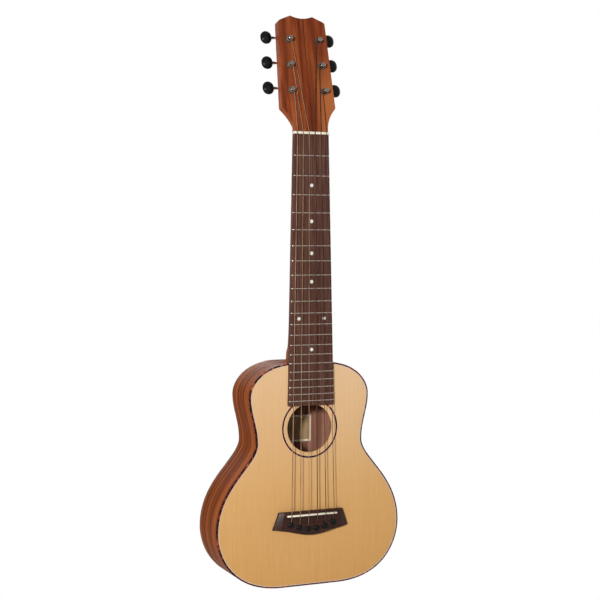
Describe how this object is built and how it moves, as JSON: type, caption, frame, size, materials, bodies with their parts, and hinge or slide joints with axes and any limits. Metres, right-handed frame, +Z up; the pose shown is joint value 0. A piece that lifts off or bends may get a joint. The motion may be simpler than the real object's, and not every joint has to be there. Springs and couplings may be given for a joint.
{
  "type": "guitalele",
  "caption": "Small short-scale guitar with a hollow waisted body, round sound hole, fretted neck, pinned bridge and open-geared tuning machines on a tilted head.",
  "frame": {"origin": "middle of the front edge of the nut, on the plane of the fret tops, where a wall hanger's fork holds the instrument under the shoulders of its head", "axes": "+X to the treble side, +Y from the front to the back, +Z up the neck towards the head"},
  "size_m": [0.2278, 0.0713, 0.6573],
  "materials": {
    "spruce": "satin lacquer, fine straight grain",
    "acacia": "satin lacquer, dark streaks",
    "mahogany": "satin lacquer",
    "rosewood": "oiled, open pores",
    "cedar": "bare",
    "tortoise": "mottled, polished",
    "bone": "satin",
    "black_plastic": "polished",
    "chrome": "polished",
    "wound_string": "fine winding",
    "plain_string": "smooth",
    "paper": "plain uncoated paper"
  },
  "bodies": {
    "root": {"soundboard": "spruce", "rosette": "tortoise", "back_plate": "acacia", "binding_top": "tortoise", "binding_back": "tortoise", "side_bass": "acacia", "side_treble": "acacia", "lining_top": "cedar", "lining_back": "cedar", "neck_block": "mahogany", "tail_block": "mahogany", "x_brace": "spruce", "upper_brace": "spruce", "back_brace_upper": "mahogany", "back_brace_lower": "mahogany", "bridge_plate": "mahogany", "inside_label": "paper", "fretboard": "rosewood", "nut": "bone", "head_veneer": "acacia", "neck": "mahogany", "heel_cap": "rosewood", "bridge": "rosewood", "saddle": "bone", "bridge_pin_1": "black_plastic", "bridge_pin_2": "black_plastic", "bridge_pin_3": "black_plastic", "bridge_pin_4": "black_plastic", "bridge_pin_5": "black_plastic", "bridge_pin_6": "black_plastic", "string_1": "plain_string", "string_2": "plain_string", "string_3": "plain_string", "string_4": "wound_string", "string_5": "wound_string", "string_6": "wound_string", "ferrule_1": "chrome", "ferrule_2": "chrome", "ferrule_3": "chrome", "ferrule_4": "chrome", "ferrule_5": "chrome", "ferrule_6": "chrome", "tuner_plate_1": "chrome", "tuner_plate_2": "chrome", "tuner_plate_3": "chrome", "tuner_plate_4": "chrome", "tuner_plate_5": "chrome", "tuner_plate_6": "chrome"},
    "key_1": {"tuner_key_1": "black_plastic"},
    "key_2": {"tuner_key_2": "black_plastic"},
    "key_3": {"tuner_key_3": "black_plastic"},
    "key_4": {"tuner_key_4": "black_plastic"},
    "key_5": {"tuner_key_5": "black_plastic"},
    "key_6": {"tuner_key_6": "black_plastic"},
    "post_1": {"tuner_post_1": "chrome"},
    "post_2": {"tuner_post_2": "chrome"},
    "post_3": {"tuner_post_3": "chrome"},
    "post_4": {"tuner_post_4": "chrome"},
    "post_5": {"tuner_post_5": "chrome"},
    "post_6": {"tuner_post_6": "chrome"}
  },
  "joints": [
    {"name": "key_1_turn", "type": "hinge", "parent": "root", "child": "key_1", "pos_m": [0.02062, 0.02956, 0.05353], "axis": [1, 0, 0], "continuous": true},
    {"name": "post_1_turn", "type": "hinge", "parent": "root", "child": "post_1", "pos_m": [0.02062, 0.01228, 0.04999], "axis": [0, 0.9763, -0.2164], "continuous": true},
    {"name": "key_2_turn", "type": "hinge", "parent": "root", "child": "key_2", "pos_m": [0.01942, 0.03614, 0.08321], "axis": [1, 0, 0], "continuous": true},
    {"name": "post_2_turn", "type": "hinge", "parent": "root", "child": "post_2", "pos_m": [0.01942, 0.01886, 0.07967], "axis": [0, 0.9763, -0.2164], "continuous": true},
    {"name": "key_3_turn", "type": "hinge", "parent": "root", "child": "key_3", "pos_m": [0.01821, 0.04272, 0.11289], "axis": [1, 0, 0], "continuous": true},
    {"name": "post_3_turn", "type": "hinge", "parent": "root", "child": "post_3", "pos_m": [0.01821, 0.02544, 0.10935], "axis": [0, 0.9763, -0.2164], "continuous": true},
    {"name": "key_4_turn", "type": "hinge", "parent": "root", "child": "key_4", "pos_m": [-0.01821, 0.04272, 0.11289], "axis": [1, 0, 0], "continuous": true},
    {"name": "post_4_turn", "type": "hinge", "parent": "root", "child": "post_4", "pos_m": [-0.01821, 0.02544, 0.10935], "axis": [0, 0.9763, -0.2164], "continuous": true},
    {"name": "key_5_turn", "type": "hinge", "parent": "root", "child": "key_5", "pos_m": [-0.01942, 0.03614, 0.08321], "axis": [1, 0, 0], "continuous": true},
    {"name": "post_5_turn", "type": "hinge", "parent": "root", "child": "post_5", "pos_m": [-0.01942, 0.01886, 0.07967], "axis": [0, 0.9763, -0.2164], "continuous": true},
    {"name": "key_6_turn", "type": "hinge", "parent": "root", "child": "key_6", "pos_m": [-0.02062, 0.02956, 0.05353], "axis": [1, 0, 0], "continuous": true},
    {"name": "post_6_turn", "type": "hinge", "parent": "root", "child": "post_6", "pos_m": [-0.02062, 0.01228, 0.04999], "axis": [0, 0.9763, -0.2164], "continuous": true}
  ],
  "couplings": [
    {"joint": "post_1_turn", "follows": "key_1_turn", "ratio": -0.055556},
    {"joint": "post_2_turn", "follows": "key_2_turn", "ratio": -0.055556},
    {"joint": "post_3_turn", "follows": "key_3_turn", "ratio": -0.055556},
    {"joint": "post_4_turn", "follows": "key_4_turn", "ratio": -0.055556},
    {"joint": "post_5_turn", "follows": "key_5_turn", "ratio": -0.055556},
    {"joint": "post_6_turn", "follows": "key_6_turn", "ratio": -0.055556}
  ]
}
